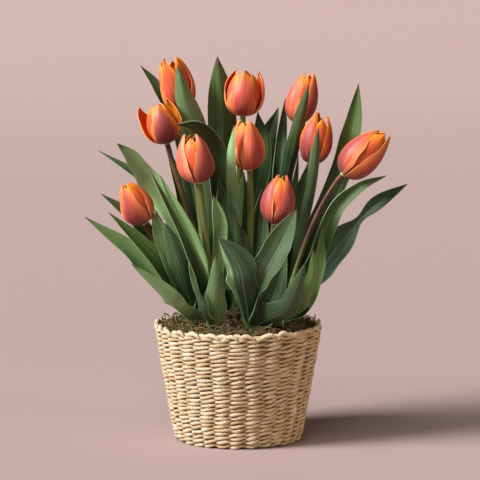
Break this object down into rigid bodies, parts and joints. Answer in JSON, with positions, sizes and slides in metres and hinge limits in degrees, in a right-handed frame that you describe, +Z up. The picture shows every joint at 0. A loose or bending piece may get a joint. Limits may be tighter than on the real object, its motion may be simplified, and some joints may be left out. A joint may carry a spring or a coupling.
{
  "type": "potted tulip",
  "caption": "Clump of orange flamed tulips with broad grey-green leaves, growing through moss in a round twined straw basket.",
  "frame": {"origin": "middle of the basket's underside, on the surface it stands on", "axes": "+Z up; +X to the right and +Y away from a viewer who faces the front"},
  "size_m": [0.336, 0.2028, 0.4026],
  "materials": {
    "straw": "dry twined straw, pale gold and tan strands",
    "liner_plastic": "thin matte black plant pot",
    "soil": "damp dark potting mix of peat and bark",
    "moss": "curly brown and green moss",
    "bulb_skin": "papery brown bulb skin",
    "leaf_green": "grey-green leaf with a waxy bloom and fine parallel veins",
    "petal_orange": "satin orange petal with a rose-purple flame up its middle"
  },
  "bodies": {
    "root": {"basket": "straw", "grow_pot": "liner_plastic", "soil": "soil", "moss": "moss", "bulb_01": "bulb_skin", "leafy_stem_01": "leaf_green", "bloom_01": "petal_orange", "bulb_02": "bulb_skin", "leafy_stem_02": "leaf_green", "bloom_02": "petal_orange", "bulb_03": "bulb_skin", "leafy_stem_03": "leaf_green", "bloom_03": "petal_orange", "bulb_04": "bulb_skin", "leafy_stem_04": "leaf_green", "bloom_04": "petal_orange", "bulb_05": "bulb_skin", "leafy_stem_05": "leaf_green", "bloom_05": "petal_orange", "bulb_06": "bulb_skin", "leafy_stem_06": "leaf_green", "bloom_06": "petal_orange", "bulb_07": "bulb_skin", "leafy_stem_07": "leaf_green", "bloom_07": "petal_orange", "bulb_08": "bulb_skin", "leafy_stem_08": "leaf_green", "bloom_08": "petal_orange", "bulb_09": "bulb_skin", "leafy_stem_09": "leaf_green", "bloom_09": "petal_orange", "bulb_10": "bulb_skin", "leafy_stem_10": "leaf_green", "bloom_10": "petal_orange"}
  },
  "joints": []
}
